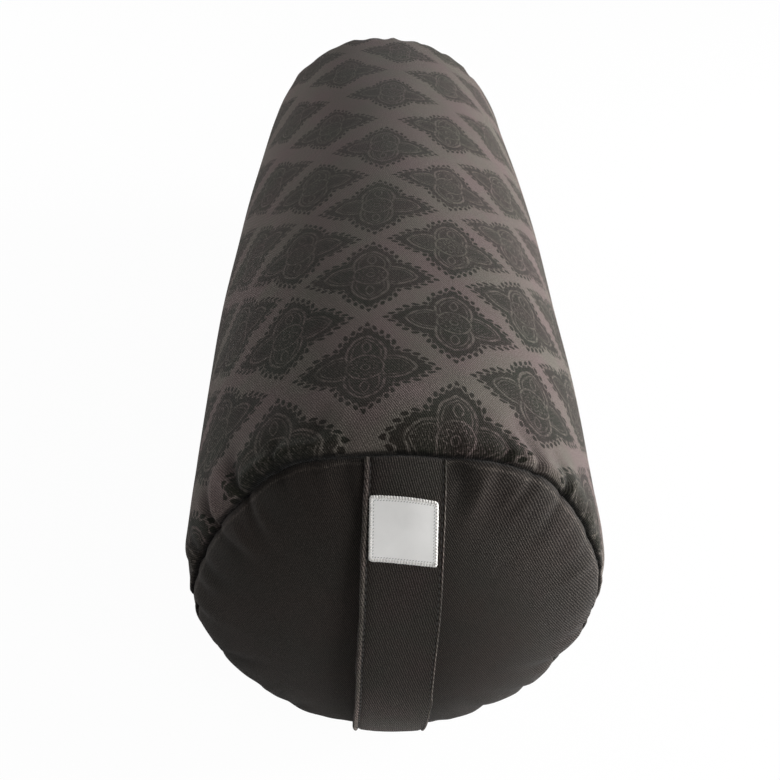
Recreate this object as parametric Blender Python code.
"""Yoga bolster: a firm round cushion in a printed twill cover with a carry handle on one end.

Metres, +Z up. The long axis runs along Y, the handle end is at -Y, and the origin is
the middle of the flat strip on which the bolster rests. A position round the tube is
an angle from the top, growing towards +X. The cover's side seam holds a zip on the
lower +X side, so that the filled inner case can be taken out.
"""

import math

import bmesh
import bpy
from mathutils import Matrix, Vector

# Overall sizes of the stuffed cover
BODY_RADIUS = 0.110
BODY_LENGTH = 0.584
SEAM_DROP = 0.015
END_CROWN = 0.030
HEIGHT_RATIO = 0.965
BARREL_DROP = 0.006
BARREL_POWER = 2.3
SHOULDER_LENGTH = 0.036
SHOULDER_FULLNESS = 2.65
CROWN_FULLNESS = 3.2

# How far the underside is pressed flat, and how softly the flat strip begins
REST_FLAT = 0.006
REST_SOFTNESS = 0.003

# Cloth beside a stitched seam swells, and the stitches pull small puckers into it.
# Each pucker wave has its share of the depth, its count round the seam and its shift
SEAM_SWELL = 0.0018
SWELL_REACH = 0.009
PUCKER_DEPTH = 0.0010
PUCKER_REACH = 0.014
PUCKER_WAVES = ((0.50, 7, 0.4), (0.35, 11, 1.9), (0.25, 16, 4.0))

# Cloths and the clearance between pieces that lie on each other
TWILL = 0.0008
CALICO = 0.0006
COVER_ALLOWANCE = 0.009
CASE_ALLOWANCE = 0.006
GAP = 0.0003

# Zip: where it lies, the seam sewn shut at each end of it, its tapes and its teeth.
# The tube runs straight beside the zip and comes back to its barrel shape at the blend
ZIP_ANGLE = math.radians(112)
ZIP_END_SEAM = 0.087
ZIP_BLEND = 0.058
CLOSED_SEAM_SINK = 0.0008
TAPE_WIDTH = 0.0128
TAPE_THICKNESS = 0.0006
TAPE_TAIL = 0.013
TOOTH_PITCH = 0.0030
TOOTH_OVERLAP = 0.0017
TOOTH_THICKNESS = 0.0024
CORD_WIDTH = 0.0009
STOP_LENGTH = 0.003
STOP_REACH = 0.0010
STOP_GRIP = 0.0012

# Slider: its outline gives places along its half length with shares of its half width
SLIDER_LENGTH = 0.013
SLIDER_OUTLINE = ((-1.0, 0.80), (-0.55, 0.90), (0.45, 1.0), (1.0, 0.92))
SLIDER_PLATE = 0.0011
SLIDER_FLANGE = 0.0017
SLIDER_EDGE = 0.00018
WEDGE_LENGTH = 0.0052
WEDGE_HALF_WIDTH = 0.0014
WEDGE_WIDEST_PLACE = 0.62
WEDGE_TAIL_SHARE = 0.6
BRIDGE_LENGTH = 0.0086
BRIDGE_HALF_WIDTH = 0.0011
BRIDGE_WALL = 0.0008
BRIDGE_HEADROOM = 0.0022
BRIDGE_CORNER = 0.0010

# Clearances of the slider: to the teeth, the corded edges, the tapes and the cover's slot
TOOTH_PLAY = 0.00025
CORD_PLAY = 0.0006
TAPE_PLAY = 0.00045
SLOT_PLAY = 0.0008

# The slider's pull: a loop with a window round the bridge, and a tab with a finger slot
PULL_LENGTH = 0.027
PULL_HALF_WIDTH = 0.0042
PULL_THICKNESS = 0.0012
PULL_BAR = 0.0012
PULL_ARM = 0.0011
PULL_SIDE_PLAY = 0.0006
PULL_CORNER = 0.0022
LOOP_CORNER = 0.0010
WINDOW_CORNER = 0.0004
GRIP_RIM = 0.0024
GRIP_FROM_TIP = 0.0028
GRIP_LENGTH = 0.0100
GRIP_CORNER = 0.0016

# Carry handle: a folded twill strap sewn into the front seam at top and bottom. Its
# folded edge begins and ends at shares of its thickness, and its slack hangs low
HANDLE_WIDTH = 0.036
HANDLE_THICKNESS = 0.0018
HANDLE_RIM = 0.0024
HANDLE_EDGE = (0.30, 0.70)
HANDLE_STITCH_DEPTH = 0.0004
HANDLE_SLACK = 0.009
HANDLE_SLACK_POWER = 1.5
HANDLE_LOWER_BIAS = 0.35
HANDLE_SEAM_GAP = 0.00045

# Bare woven label on the handle
LABEL_SIDE_MARGIN = 0.0008
LABEL_HEIGHT = 0.0255
LABEL_THICKNESS = 0.0005
LABEL_FROM_SEAM = 0.0141

# Fineness of the meshes: rings lie at these distances from a seam, and the rings of a
# round end at these shares of its seam's radius
PLAIN_COLUMNS = 33
SEAM_RINGS = (0.0, 0.004, 0.012, 0.028)
END_SHARES = (1.0, 0.955, 0.87, 0.72, 0.50, 0.25)
FILLING_SHARES = (0.90, 0.70, 0.40)
HANDLE_STATIONS = 26
LABEL_ROWS = 6
SHARP_ANGLE = math.radians(40)

# Small steps over which a surface's direction is measured: a length, a turn and a share
PROBE_LENGTH = 0.0005
PROBE_TURN = 0.005
PROBE_SHARE = 0.005

# The zip presses a furrow into the inner case, a little wider and longer than its tapes
FURROW_RUN_OUT = 0.009
FURROW_MARGIN = 0.006

# Sizes that follow from the ones above
SEAM_RADIUS = BODY_RADIUS - SEAM_DROP
HALF_LENGTH = BODY_LENGTH / 2
STRAIGHT_HALF = HALF_LENGTH - SHOULDER_LENGTH
AXIS_HEIGHT = HEIGHT_RATIO * BODY_RADIUS - REST_FLAT
ZIP_RADIUS = BODY_RADIUS - BARREL_DROP
ZIP_HALF = HALF_LENGTH - ZIP_END_SEAM
TOOTH_LENGTH = TOOTH_PITCH / 2 - GAP
CORD_INNER = TOOTH_OVERLAP + GAP
CORD_OUTER = CORD_INNER + CORD_WIDTH
TAPE_INNER = CORD_OUTER + GAP
TAPE_OUTER = TAPE_INNER + TAPE_WIDTH
TAPE_DEPTH = TWILL + GAP
SLIDER_HALF_WIDTH = CORD_OUTER + CORD_PLAY + SLIDER_FLANGE
ZIP_SLOT_HALF = SLIDER_HALF_WIDTH + SLOT_PLAY
ZIP_FLAT_HALF = TAPE_OUTER + FURROW_MARGIN
TOOTH_MIDDLE = -(TAPE_DEPTH + TAPE_THICKNESS / 2)
TOOTH_TOP = TOOTH_MIDDLE + TOOTH_THICKNESS / 2
TOOTH_BOTTOM = TOOTH_MIDDLE - TOOTH_THICKNESS / 2
PLATE_TOP = TOOTH_TOP + TOOTH_PLAY + SLIDER_PLATE
PLATE_BOTTOM = TOOTH_BOTTOM - TOOTH_PLAY - SLIDER_PLATE
SLIDER_REST = ZIP_HALF - GAP - STOP_LENGTH - GAP - SLIDER_LENGTH / 2
PULL_AXIS = PLATE_TOP + BRIDGE_HEADROOM / 2
FURROW_UNDER_SLIDER = -PLATE_BOTTOM + GAP - TAPE_DEPTH
FURROW_UNDER_TAPE = TAPE_THICKNESS + GAP
LABEL_WIDTH = HANDLE_WIDTH - 2 * HANDLE_RIM - 2 * LABEL_SIDE_MARGIN


class Bag:
    """Sizes of one sewn bag: a tube and two round ends, turned right side out."""

    def __init__(
        self, inset, half_length, seam_radius, crown, cloth, allowance, furrow, end_columns
    ):
        self.inset = inset
        self.half_length = half_length
        self.seam_radius = seam_radius
        self.crown = crown
        self.cloth = cloth
        self.allowance = allowance
        self.furrow = furrow
        self.end_columns = end_columns


COVER = Bag(
    inset=0.0,
    half_length=HALF_LENGTH,
    seam_radius=SEAM_RADIUS,
    crown=END_CROWN,
    cloth=TWILL,
    allowance=COVER_ALLOWANCE,
    furrow=False,
    end_columns=32,
)
CASE = Bag(
    inset=TWILL + GAP,
    half_length=HALF_LENGTH - TWILL - GAP,
    seam_radius=SEAM_RADIUS - COVER_ALLOWANCE / HEIGHT_RATIO - 3 * GAP,
    crown=END_CROWN - TWILL - GAP,
    cloth=CALICO,
    allowance=CASE_ALLOWANCE,
    furrow=True,
    end_columns=24,
)
FILLING = Bag(
    inset=CASE.inset + CALICO + GAP,
    half_length=CASE.half_length - CALICO - GAP,
    seam_radius=CASE.seam_radius - CASE_ALLOWANCE / HEIGHT_RATIO - 3 * GAP,
    crown=CASE.crown - CALICO,
    cloth=0.0,
    allowance=0.0,
    furrow=True,
    end_columns=24,
)


def cleared_scene():
    """Remove whatever the scene holds."""
    for old in list(bpy.data.objects):
        bpy.data.objects.remove(old, do_unlink=True)


def material(name, color, roughness, metallic=0.0):
    """A plain Principled material."""
    made = bpy.data.materials.new(name)
    made.use_nodes = True
    shader = made.node_tree.nodes["Principled BSDF"]
    shader.inputs["Base Color"].default_value = (*color, 1.0)
    shader.inputs["Roughness"].default_value = roughness
    shader.inputs["Metallic"].default_value = metallic
    return made


def new_object(name, points, faces, surface, smooth=True):
    """An object from points and faces, its triangles split the same way on every layer."""
    mesh = bpy.data.meshes.new(name)
    mesh.from_pydata([tuple(p) for p in points], [], faces)
    work = bmesh.new()
    work.from_mesh(mesh)
    loose = [v for v in work.verts if not v.link_faces]
    bmesh.ops.delete(work, geom=loose, context="VERTS")
    quads = [f for f in work.faces if len(f.verts) == 4]
    bmesh.ops.triangulate(work, faces=quads, quad_method="FIXED")
    work.to_mesh(mesh)
    work.free()
    if smooth:
        mesh.shade_smooth()
        mesh.set_sharp_from_angle(angle=SHARP_ANGLE)
    made = bpy.data.objects.new(name, mesh)
    made.data.materials.append(surface)
    bpy.context.scene.collection.objects.link(made)
    return made


def cloth_object(name, outer, inner, faces, surface):
    """A closed sheet of cloth: its right side, its wrong side and the cut edges between."""
    count = len(outer)
    directed = {(f[k], f[(k + 1) % len(f)]) for f in faces for k in range(len(f))}
    cut_edges = [(a, b) for a, b in directed if (b, a) not in directed]
    wrong_side = [tuple(count + k for k in (f[0], *reversed(f[1:]))) for f in faces]
    walls = [(b, a, a + count, b + count) for a, b in sorted(cut_edges)]
    return new_object(name, outer + inner, list(faces) + wrong_side + walls, surface)


def smooth_step(low, high, value):
    """0 below low, 1 above high, and a soft rise between."""
    t = min(max((value - low) / (high - low), 0.0), 1.0)
    return t * t * (3 - 2 * t)


def turned(angle):
    """An angle brought between minus half a turn and half a turn."""
    return (angle + math.pi) % math.tau - math.pi


def from_zip(angle):
    """Distance round the tube from the zip's middle line."""
    return abs(turned(angle - ZIP_ANGLE)) * ZIP_RADIUS


def puckers(angle):
    """Uneven rise and fall of the cloth round a stitched seam, between about -1 and 1."""
    return sum(share * math.sin(count * angle + shift) for share, count, shift in PUCKER_WAVES)


def beside_seam(distance, angle):
    """How far the cloth stands out at a distance from the stitched seam."""
    swell = SEAM_SWELL * (distance / SWELL_REACH) * math.exp(1 - distance / SWELL_REACH)
    reach = distance / PUCKER_REACH
    return swell + PUCKER_DEPTH * puckers(angle) * reach * math.exp(1 - 2 * reach)


def barrel(y):
    """Radius of the tube before it turns in to its seams."""
    return BODY_RADIUS - BARREL_DROP * (abs(y) / STRAIGHT_HALF) ** BARREL_POWER


def turn_in(y, bag):
    """Share of the barrel radius that is left on the shoulder."""
    run = (abs(y) - STRAIGHT_HALF) / (bag.half_length - STRAIGHT_HALF)
    if run <= 0:
        return 1.0
    n = SHOULDER_FULLNESS
    at_seam = bag.seam_radius / (barrel(bag.half_length) - bag.inset)
    reach = (1 - at_seam**n) ** (1 / n)
    return (1 - (reach * min(run, 1.0)) ** n) ** (1 / n)


def furrow(angle, y):
    """Depth of the hollow that the zip presses into the inner case and the filling."""
    away = from_zip(angle)
    if abs(y) > STRAIGHT_HALF + FURROW_RUN_OUT:
        return 0.0
    slider_side = 1 - min(max((away - ZIP_SLOT_HALF) / (TAPE_OUTER - ZIP_SLOT_HALF), 0), 1)
    tape_side = 1 - min(max((away - TAPE_OUTER) / (ZIP_FLAT_HALF - TAPE_OUTER), 0), 1)
    under_slider = FURROW_UNDER_SLIDER - FURROW_UNDER_TAPE
    return under_slider * slider_side + FURROW_UNDER_TAPE * tape_side


def straight_point(angle, y):
    """A point on the cover before it turns in to its seams, from the tube's axis."""
    beside = 1 - smooth_step(ZIP_FLAT_HALF, ZIP_BLEND, from_zip(angle))
    along = 1 - smooth_step(ZIP_HALF + TAPE_TAIL, STRAIGHT_HALF, abs(y))
    held = beside * along
    radius = (1 - held) * barrel(y) + held * ZIP_RADIUS
    z = HEIGHT_RATIO * radius * math.cos(angle)
    above = z + AXIS_HEIGHT
    if above < -REST_SOFTNESS:
        z = -AXIS_HEIGHT
    elif above < REST_SOFTNESS:
        z = max(z, -AXIS_HEIGHT) + (REST_SOFTNESS - abs(above)) ** 2 / (4 * REST_SOFTNESS)
    return Vector((radius * math.sin(angle), 0, z))


def straight_normal(angle, y):
    """The direction square to the straight tube at a point, away from its axis."""
    round_it = straight_point(angle + PROBE_TURN, y) - straight_point(angle - PROBE_TURN, y)
    return round_it.cross(Vector((0, 1, 0))).normalized()


def face_point(angle, y, bag):
    """A point on the outer face of a bag's tube."""
    depth = bag.inset
    if bag.furrow:
        depth += furrow(angle, y)
    arm = straight_point(angle, y) - straight_normal(angle, y) * depth
    arm *= turn_in(y, bag)
    arm += arm.normalized() * beside_seam(bag.half_length - abs(y), angle)
    return Vector((arm.x, y, AXIS_HEIGHT + arm.z))


def face_normal(angle, y, bag):
    """The outward direction of a bag's tube at a point, measured on its smooth surface."""
    small = PROBE_LENGTH
    inward = y - math.copysign(small, y) if abs(y) > bag.half_length - small else y
    turn = small / BODY_RADIUS
    round_it = face_point(angle + turn, inward, bag) - face_point(angle - turn, inward, bag)
    along = face_point(angle, inward + small, bag) - face_point(angle, inward - small, bag)
    return round_it.cross(along).normalized()


def mitred(point, first, second, cloth):
    """The wrong side's corner under a right side's corner between two directions."""
    return point - (first + second) * (cloth / (1 + first.dot(second)))


def tube_columns():
    """Angles of the tube's mesh columns: close together at the zip, even elsewhere."""
    marks = (ZIP_SLOT_HALF, TAPE_OUTER, ZIP_FLAT_HALF)
    steps = [-m / ZIP_RADIUS for m in reversed(marks)] + [0.0] + [m / ZIP_RADIUS for m in marks]
    near = [ZIP_ANGLE + step for step in steps]
    start = near[-1]
    spare = math.tau - (near[-1] - near[0])
    return near + [start + spare * k / PLAIN_COLUMNS for k in range(1, PLAIN_COLUMNS)]


def tube_rings(bag):
    """Places of the tube's mesh rings along Y, from the front seam to the rear one."""
    half = [bag.half_length - d for d in SEAM_RINGS] + [ZIP_HALF, ZIP_HALF / 2]
    return [-y for y in half] + [0.0] + list(reversed(half))


def sewn_tube(name, bag, surface, with_opening):
    """A bag's tube: cloth that turns in at both seams, slit along the zip if it has one."""
    angles = tube_columns()
    columns = len(angles)
    rings = tube_rings(bag)
    outer = []
    inner = []

    def add_allowance(ring):
        axis_point = Vector((0, ring, AXIS_HEIGHT))
        for angle in angles:
            arm = face_point(angle, ring, bag) - axis_point
            tip = axis_point + arm * (1 - bag.allowance / arm.length)
            outer.append(tip)
            inner.append(tip - Vector((0, math.copysign(bag.cloth, ring), 0)))

    def add_ring(ring):
        to_end = Vector((0, math.copysign(1, ring), 0))
        for angle in angles:
            point = face_point(angle, ring, bag)
            normal = face_normal(angle, ring, bag)
            if with_opening and abs(ring) > ZIP_HALF and angle == ZIP_ANGLE:
                point -= normal * CLOSED_SEAM_SINK
            outer.append(point)
            if abs(ring) == bag.half_length:
                inner.append(mitred(point, normal, to_end, bag.cloth))
            else:
                inner.append(point - normal * bag.cloth)

    add_allowance(rings[0])
    for ring in rings:
        add_ring(ring)
    add_allowance(rings[-1])
    faces = []
    for i in range(len(rings) + 1):
        for j in range(columns):
            if with_opening and slot_cell(rings, angles, i - 1, j):
                continue
            after = (j + 1) % columns
            low = i * columns
            high = low + columns
            faces.append((low + j, low + after, high + after, high + j))
    return cloth_object(name, outer, inner, faces, surface)


def slot_cell(rings, angles, ring, column):
    """Whether a cell of the tube's mesh lies in the zip's opening."""
    if not 0 <= ring < len(rings) - 1:
        return False
    middle_y = (rings[ring] + rings[ring + 1]) / 2
    after = angles[(column + 1) % len(angles)]
    middle_angle = angles[column] + turned(after - angles[column]) / 2
    return abs(middle_y) < ZIP_HALF and from_zip(middle_angle) < ZIP_SLOT_HALF


def panel_point(angle, share, end, bag, lift=0.0):
    """A point on a bag's round end: share 0 is its middle and 1 its seam."""
    seam = face_point(angle, end * bag.half_length, bag)
    axis_point = Vector((0, end * bag.half_length, AXIS_HEIGHT))
    point = axis_point + (seam - axis_point) * share
    rise = bag.crown * (1 - share**CROWN_FULLNESS)
    rise += beside_seam((1 - share) * bag.seam_radius, angle)
    point.y += end * (GAP + rise + lift)
    return point


def panel_normal(angle, share, end, bag):
    """The outward direction of a bag's round end at a point."""
    share = min(max(share, PROBE_SHARE), 1 - PROBE_SHARE)
    turn = PROBE_SHARE / share
    ahead = panel_point(angle + turn, share, end, bag)
    behind = panel_point(angle - turn, share, end, bag)
    further = panel_point(angle, share + PROBE_SHARE, end, bag)
    nearer = panel_point(angle, share - PROBE_SHARE, end, bag)
    normal = (ahead - behind).cross(further - nearer).normalized()
    return normal if normal.y * end > 0 else -normal


def sewn_panel(name, bag, end, surface):
    """A bag's round end: domed cloth whose edge turns in at the seam."""
    angles = [math.tau * k / bag.end_columns for k in range(bag.end_columns)]
    outer = []
    inner = []
    to_tube = Vector((0, -end, 0))
    for angle in angles:
        edge = panel_point(angle, 1.0, end, bag)
        axis_point = Vector((0, edge.y, AXIS_HEIGHT))
        keep = 1 - bag.allowance / (edge - axis_point).length
        tip = axis_point + (edge - axis_point) * keep
        outer.append(tip)
        inner.append(tip - to_tube * bag.cloth)
    for share in END_SHARES:
        for angle in angles:
            point = panel_point(angle, share, end, bag)
            normal = panel_normal(angle, share, end, bag)
            outer.append(point)
            inner.append(
                mitred(point, normal, to_tube, bag.cloth)
                if share == 1.0
                else point - normal * bag.cloth
            )
    middle = panel_point(0.0, 0.0, end, bag)
    outer.append(middle)
    inner.append(middle - Vector((0, end * bag.cloth, 0)))
    faces = []
    columns = len(angles)
    for i in range(len(END_SHARES)):
        for j in range(columns):
            after = (j + 1) % columns
            low = i * columns
            faces.append((low + j, low + after, low + columns + after, low + columns + j))
    last = len(END_SHARES) * columns
    faces += [(last + j, last + (j + 1) % columns, len(outer) - 1) for j in range(columns)]
    if end < 0:
        faces = [tuple(reversed(f)) for f in faces]
    return cloth_object(name, outer, inner, faces, surface)


def filling_body(name, bag, surface):
    """The stuffing: one solid that fills the inner case and its domed ends."""
    angles = tube_columns()
    columns = len(angles)
    front = [[panel_point(a, s, -1, bag) for a in angles] for s in reversed(FILLING_SHARES)]
    tube = [[face_point(a, y, bag) for a in angles] for y in tube_rings(bag)]
    rear = [[panel_point(a, s, 1, bag) for a in angles] for s in FILLING_SHARES]
    rows = front + tube + rear
    points = [p for row in rows for p in row]
    points.append(panel_point(0.0, 0.0, -1, bag))
    points.append(panel_point(0.0, 0.0, 1, bag))
    faces = []
    for i in range(len(rows) - 1):
        for j in range(columns):
            after = (j + 1) % columns
            low = i * columns
            faces.append((low + j, low + after, low + columns + after, low + columns + j))
    last = (len(rows) - 1) * columns
    for j in range(columns):
        after = (j + 1) % columns
        faces.append((after, j, len(points) - 2))
        faces.append((last + j, last + after, len(points) - 1))
    return new_object(name, points, faces, surface)


def strip_faces(rows, columns):
    """Faces of a sheet of rows of points, none of them joined round."""
    faces = []
    for i in range(rows - 1):
        for j in range(columns - 1):
            low = i * columns + j
            faces.append((low, low + 1, low + columns + 1, low + columns))
    return faces


def handle_line(place):
    """A point of the handle's middle line, 0 at the top seam and 1 at the bottom one,
    with its outward direction."""

    def on_panel(t):
        across = 1 - 2 * t
        angle = 0.0 if across >= 0 else math.pi
        bow = (1 - across**2) ** HANDLE_SLACK_POWER * (1 - HANDLE_LOWER_BIAS * across)
        lift = HANDLE_SEAM_GAP + HANDLE_SLACK * bow
        return panel_point(angle, abs(across), -1, COVER, lift)

    ahead = on_panel(min(place + PROBE_SHARE, 1.0))
    behind = on_panel(max(place - PROBE_SHARE, 0.0))
    along = (ahead - behind).normalized()
    return on_panel(place), Vector((-1, 0, 0)).cross(along)


def carry_handle(name, surface):
    """The strap: folded edges stand a little proud of the stitched lines beside them."""
    half = HANDLE_WIDTH / 2
    edge_foot, edge_top = (share * HANDLE_THICKNESS for share in HANDLE_EDGE)
    left_edge = [
        (-half, edge_top),
        (-half + HANDLE_RIM / 2, HANDLE_THICKNESS),
        (-half + HANDLE_RIM, HANDLE_THICKNESS - HANDLE_STITCH_DEPTH),
        (-half + 2 * HANDLE_RIM, HANDLE_THICKNESS),
    ]
    right_edge = [(-across, height) for across, height in reversed(left_edge)]
    profile = left_edge + right_edge
    outer = []
    inner = []
    for k in range(HANDLE_STATIONS + 1):
        closer_at_seams = (1 - math.cos(math.pi * k / HANDLE_STATIONS)) / 2
        middle, outward = handle_line(closer_at_seams)
        for across, height in profile:
            side = Vector((across, 0, 0))
            foot = edge_foot if abs(across) == half else 0.0
            outer.append(middle + side + outward * height)
            inner.append(middle + side + outward * foot)
    faces = strip_faces(HANDLE_STATIONS + 1, len(profile))
    faces = [tuple(reversed(f)) for f in faces]
    return cloth_object(name, outer, inner, faces, surface)


def label_patch(name, surface):
    """The bare woven patch on the handle, a little narrower than its stitched lines are apart."""
    path = 2 * SEAM_RADIUS * HEIGHT_RATIO
    start = LABEL_FROM_SEAM / path
    stop = (LABEL_FROM_SEAM + LABEL_HEIGHT) / path
    outer = []
    inner = []
    for k in range(LABEL_ROWS + 1):
        middle, outward = handle_line(start + (stop - start) * k / LABEL_ROWS)
        for across in (-LABEL_WIDTH / 2, 0.0, LABEL_WIDTH / 2):
            foot = middle + Vector((across, 0, 0)) + outward * (HANDLE_THICKNESS + GAP)
            inner.append(foot)
            outer.append(foot + outward * LABEL_THICKNESS)
    faces = strip_faces(LABEL_ROWS + 1, 3)
    faces = [tuple(reversed(f)) for f in faces]
    return cloth_object(name, outer, inner, faces, surface)


def zip_tape(name, side, surface):
    """One woven tape, under the cover's edge and along the tube's curve."""
    marks = (TAPE_INNER, ZIP_SLOT_HALF, TAPE_OUTER)
    outer = []
    inner = []
    for y in (-ZIP_HALF - TAPE_TAIL, ZIP_HALF + TAPE_TAIL):
        for mark in marks:
            angle = ZIP_ANGLE + side * mark / ZIP_RADIUS
            normal = face_normal(angle, 0.0, COVER)
            point = face_point(angle, 0.0, COVER) - normal * TAPE_DEPTH
            point.y = y
            outer.append(point)
            inner.append(point - normal * TAPE_THICKNESS)
    faces = strip_faces(2, len(marks))
    if side < 0:
        faces = [tuple(reversed(f)) for f in faces]
    return cloth_object(name, outer, inner, faces, surface)


def zip_frame():
    """An empty on the zip's middle line: X round the tube, Y along it and Z outward."""
    origin = face_point(ZIP_ANGLE, 0.0, COVER)
    outward = face_normal(ZIP_ANGLE, 0.0, COVER)
    along = Vector((0, 1, 0))
    around = along.cross(outward)
    turn = Matrix((around, along, outward)).transposed().to_4x4()
    frame = bpy.data.objects.new("zip_line", None)
    frame.empty_display_size = 0.02
    frame.matrix_world = Matrix.Translation(origin) @ turn
    bpy.context.scene.collection.objects.link(frame)
    return frame


def tooth_places(side):
    """Start and end of each tooth along the zip, the two sides half a pitch apart."""
    first = -ZIP_HALF + 2 * GAP + STOP_LENGTH + GAP
    last = SLIDER_REST - GAP
    if side < 0:
        first += TOOTH_PITCH / 2
    count = int((last - first - TOOTH_LENGTH) / TOOTH_PITCH) + 1
    return [(first + k * TOOTH_PITCH, first + k * TOOTH_PITCH + TOOTH_LENGTH) for k in range(count)]


def zip_teeth(name, side, surface):
    """One side of the chain: moulded teeth and an end stop on the tape's corded edge."""
    start = -ZIP_HALF + 2 * GAP + STOP_LENGTH
    stop = (ZIP_HALF - GAP - STOP_LENGTH, ZIP_HALF - GAP)
    blocks = [(a, b, -TOOTH_OVERLAP) for a, b in tooth_places(side)] + [(*stop, STOP_REACH)]
    plan = []
    polygons = []

    def corner(u, y):
        plan.append((side * u, y))
        return len(plan) - 1

    outer_before = corner(CORD_OUTER, start)
    inner_before = corner(CORD_INNER, start)
    for low, high, head in blocks:
        root_low = corner(CORD_INNER, low)
        head_low = corner(head, low)
        head_high = corner(head, high)
        root_high = corner(CORD_INNER, high)
        outer_high = corner(CORD_OUTER, high)
        polygons.append(
            (outer_before, inner_before, root_low, head_low, head_high, root_high, outer_high)
        )
        outer_before = outer_high
        inner_before = root_high
    if side > 0:
        polygons = [tuple(reversed(p)) for p in polygons]
    top = [Vector((u, y, TOOTH_TOP)) for u, y in plan]
    bottom = [Vector((u, y, TOOTH_BOTTOM)) for u, y in plan]
    return cloth_object(name, top, bottom, polygons, surface)


def prism(name, outline, low, high, axis, surface):
    """A solid pushed along one axis from a flat outline, which runs counter-clockwise."""
    order = {"X": (2, 0, 1), "Y": (1, 2, 0), "Z": (0, 1, 2)}[axis]
    bottom = [Vector([(a, b, low)[k] for k in order]) for a, b in outline]
    top = [Vector([(a, b, high)[k] for k in order]) for a, b in outline]
    count = len(outline)
    faces = [tuple(reversed(range(count))), tuple(range(count, 2 * count))]
    faces += [(k, (k + 1) % count, count + (k + 1) % count, count + k) for k in range(count)]
    return new_object(name, bottom + top, faces, surface, smooth=False)


def join_with(target, tools, operation):
    """Booleans that join the tools to the target or cut them from it."""
    for tool in tools:
        tool.hide_render = True
        tool.display_type = "WIRE"
        tool.parent = target.parent
        step = target.modifiers.new(tool.name, "BOOLEAN")
        step.object = tool
        step.operation = operation
        step.solver = "EXACT"


def softened(target, width):
    """A small chamfer on the sharp edges of a moulded or cast piece."""
    bevel = target.modifiers.new("edges", "BEVEL")
    bevel.width = width
    bevel.segments = 1
    bevel.limit_method = "ANGLE"
    bevel.angle_limit = math.radians(50)


def bottom_stop(name, frame, surface):
    """The block that closes the chain's lower end, clipped round both corded edges."""
    wide = TAPE_INNER + STOP_GRIP
    web = TAPE_INNER - GAP
    above = TOOTH_MIDDLE + TAPE_THICKNESS / 2 + TAPE_PLAY
    below = TOOTH_MIDDLE - TAPE_THICKNESS / 2 - TAPE_PLAY
    lowest = TOOTH_BOTTOM - GAP
    highest = TOOTH_TOP + GAP
    outline = [
        (-wide, lowest), (wide, lowest), (wide, below), (web, below),
        (web, above), (wide, above), (wide, highest), (-wide, highest),
        (-wide, above), (-web, above), (-web, below), (-wide, below),
    ]
    start = -ZIP_HALF + GAP
    outline = [(height, across) for across, height in reversed(outline)]
    made = prism(name, outline, start, start + STOP_LENGTH, "Y", surface)
    made.parent = frame
    return made


def slider_shell(name, plate_out, plate_in, flange_tip, surface):
    """One plate of the slider with its two edge flanges, narrower towards its tail."""
    half = SLIDER_HALF_WIDTH
    inner = half - SLIDER_FLANGE
    profile = [
        (-half, plate_out), (half, plate_out), (half, flange_tip), (inner, flange_tip),
        (inner, plate_in), (-inner, plate_in), (-inner, flange_tip), (-half, flange_tip),
    ]
    if plate_out > plate_in:
        profile.reverse()
    end = SLIDER_LENGTH / 2
    points = []
    for place, share in SLIDER_OUTLINE:
        for u, v in profile:
            width = u * share if abs(u) == half else u
            points.append(Vector((width, place * end, v)))
    count = len(profile)
    faces = [tuple(range(count))]
    last = (len(SLIDER_OUTLINE) - 1) * count
    faces.append(tuple(last + k for k in reversed(range(count))))
    for i in range(len(SLIDER_OUTLINE) - 1):
        for k in range(count):
            after = (k + 1) % count
            low = i * count
            faces.append((low + k, low + count + k, low + count + after, low + after))
    return new_object(name, points, faces, surface, smooth=False)


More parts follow.
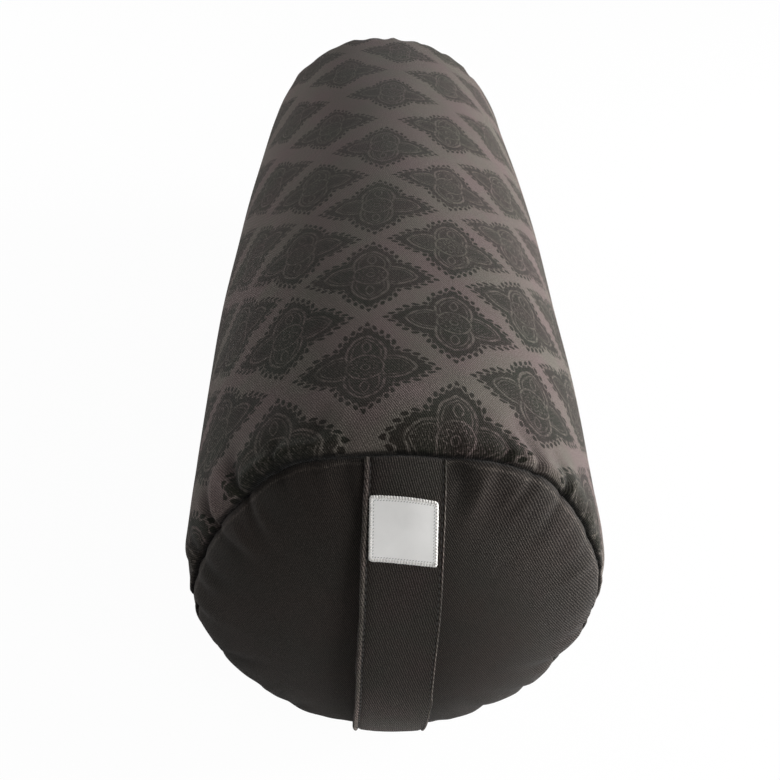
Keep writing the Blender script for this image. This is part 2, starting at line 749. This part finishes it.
def zip_slider(name, frame, surface):
    """The slider: two flanged plates, the wedge between them and the bridge for the pull."""
    tape_top = TOOTH_MIDDLE + TAPE_THICKNESS / 2
    tape_bottom = TOOTH_MIDDLE - TAPE_THICKNESS / 2
    top = slider_shell(name, PLATE_TOP, PLATE_TOP - SLIDER_PLATE, tape_top + TAPE_PLAY, surface)
    bottom = slider_shell(
        "slider_bottom_plate",
        PLATE_BOTTOM,
        PLATE_BOTTOM + SLIDER_PLATE,
        tape_bottom - TAPE_PLAY,
        surface,
    )
    wedge_end = SLIDER_LENGTH / 2 - GAP
    wedge_start = wedge_end - WEDGE_LENGTH
    wedge_wide = wedge_start + WEDGE_WIDEST_PLACE * WEDGE_LENGTH
    tail = WEDGE_TAIL_SHARE * WEDGE_HALF_WIDTH
    wedge_plan = [
        (0.0, wedge_start),
        (WEDGE_HALF_WIDTH, wedge_wide),
        (tail, wedge_end),
        (-tail, wedge_end),
        (-WEDGE_HALF_WIDTH, wedge_wide),
    ]
    into_plate = SLIDER_PLATE / 2
    wedge = prism(
        "slider_wedge", wedge_plan, PLATE_BOTTOM + into_plate, PLATE_TOP - into_plate, "Z", surface
    )
    half = BRIDGE_LENGTH / 2
    inside = half - BRIDGE_WALL
    under = PLATE_TOP + BRIDGE_HEADROOM
    foot = PLATE_TOP - SLIDER_PLATE / 2
    over = under + BRIDGE_WALL
    corner = BRIDGE_CORNER
    small = BRIDGE_CORNER / 2
    bridge_outline = [
        (-half, foot), (-inside, foot), (-inside, under - small), (-inside + small, under),
        (inside - small, under), (inside, under - small), (inside, foot), (half, foot),
        (half, over - corner), (half - corner, over),
        (-half + corner, over), (-half, over - corner),
    ]
    bridge = prism(
        "slider_bridge", bridge_outline, -BRIDGE_HALF_WIDTH, BRIDGE_HALF_WIDTH, "X", surface
    )
    top.parent = frame
    for piece in (top, bottom, wedge, bridge):
        piece.location = (0, SLIDER_REST, 0)
    join_with(top, (bottom, wedge, bridge), "UNION")
    softened(top, SLIDER_EDGE)
    return top


def rounded_outline(half_width, low, high, corner, steps):
    """A rectangle with rounded corners, counter-clockwise."""
    centres = (
        (half_width - corner, high - corner, 0),
        (-half_width + corner, high - corner, 90),
        (-half_width + corner, low + corner, 180),
        (half_width - corner, low + corner, 270),
    )
    outline = []
    for x, y, first in centres:
        for k in range(steps + 1):
            turn = math.radians(first + 90 * k / steps)
            outline.append((x + corner * math.cos(turn), y + corner * math.sin(turn)))
    return outline


def zip_pull(name, frame, surface):
    """The pull: a loop round the slider's bridge and a tab with a finger slot."""
    half_bar = PULL_BAR / 2
    window_half = BRIDGE_HALF_WIDTH + PULL_SIDE_PLAY
    loop_half = window_half + PULL_ARM
    window_end = -math.hypot(BRIDGE_LENGTH / 2, BRIDGE_HEADROOM / 2 + BRIDGE_WALL) - 2 * GAP
    loop_end = window_end - PULL_ARM
    half = PULL_THICKNESS / 2
    tip = half_bar - PULL_LENGTH
    grip_low = tip + GRIP_FROM_TIP
    grip_high = grip_low + GRIP_LENGTH
    loop = rounded_outline(loop_half, loop_end - PULL_ARM, half_bar, LOOP_CORNER, 3)
    tab = rounded_outline(PULL_HALF_WIDTH, tip, loop_end, PULL_CORNER, 4)
    window = rounded_outline(window_half, window_end, -half_bar, WINDOW_CORNER, 2)
    grip = rounded_outline(PULL_HALF_WIDTH - GRIP_RIM, grip_low, grip_high, GRIP_CORNER, 4)
    made = prism(name, tab, -half, half, "Z", surface)
    made.parent = frame
    loop_piece = prism("pull_loop", loop, -half, half, "Z", surface)
    window_cut = prism("pull_window", window, -2 * half, 2 * half, "Z", surface)
    grip_cut = prism("pull_grip", grip, -2 * half, 2 * half, "Z", surface)
    for piece in (made, loop_piece, window_cut, grip_cut):
        piece.location = (0, SLIDER_REST, PULL_AXIS)
    join_with(made, (loop_piece,), "UNION")
    join_with(made, (window_cut, grip_cut), "DIFFERENCE")
    return made


def build():
    """Make every piece of the bolster."""
    cleared_scene()
    printed = material("printed_twill", (0.060, 0.051, 0.047), 0.85)
    plain = material("plain_twill", (0.027, 0.023, 0.020), 0.85)
    satin = material("label_satin", (0.72, 0.72, 0.74), 0.55)
    tape = material("zip_tape", (0.020, 0.019, 0.018), 0.80)
    moulded = material("zip_moulding", (0.018, 0.018, 0.018), 0.40)
    enamel = material("slider_enamel", (0.025, 0.025, 0.026), 0.35, 0.6)
    calico = material("unbleached_calico", (0.62, 0.55, 0.42), 0.90)
    fibre = material("filling_fibre", (0.55, 0.48, 0.36), 0.95)

    sewn_tube("cover_body", COVER, printed, with_opening=True)
    sewn_panel("front_end_panel", COVER, -1, plain)
    sewn_panel("rear_end_panel", COVER, 1, plain)
    carry_handle("carry_handle", plain)
    label_patch("label_patch", satin)

    zip_tape("zip_tape_upper", -1, tape)
    zip_tape("zip_tape_lower", 1, tape)
    frame = zip_frame()
    upper = zip_teeth("zip_teeth_upper", -1, moulded)
    lower = zip_teeth("zip_teeth_lower", 1, moulded)
    upper.parent = frame
    lower.parent = frame
    bottom_stop("zip_bottom_stop", frame, moulded)
    zip_slider("zip_slider", frame, enamel)
    zip_pull("zip_pull", frame, enamel)

    sewn_tube("inner_case_body", CASE, calico, with_opening=False)
    sewn_panel("inner_case_front_end", CASE, -1, calico)
    sewn_panel("inner_case_rear_end", CASE, 1, calico)
    filling_body("filling", FILLING, fibre)


build()
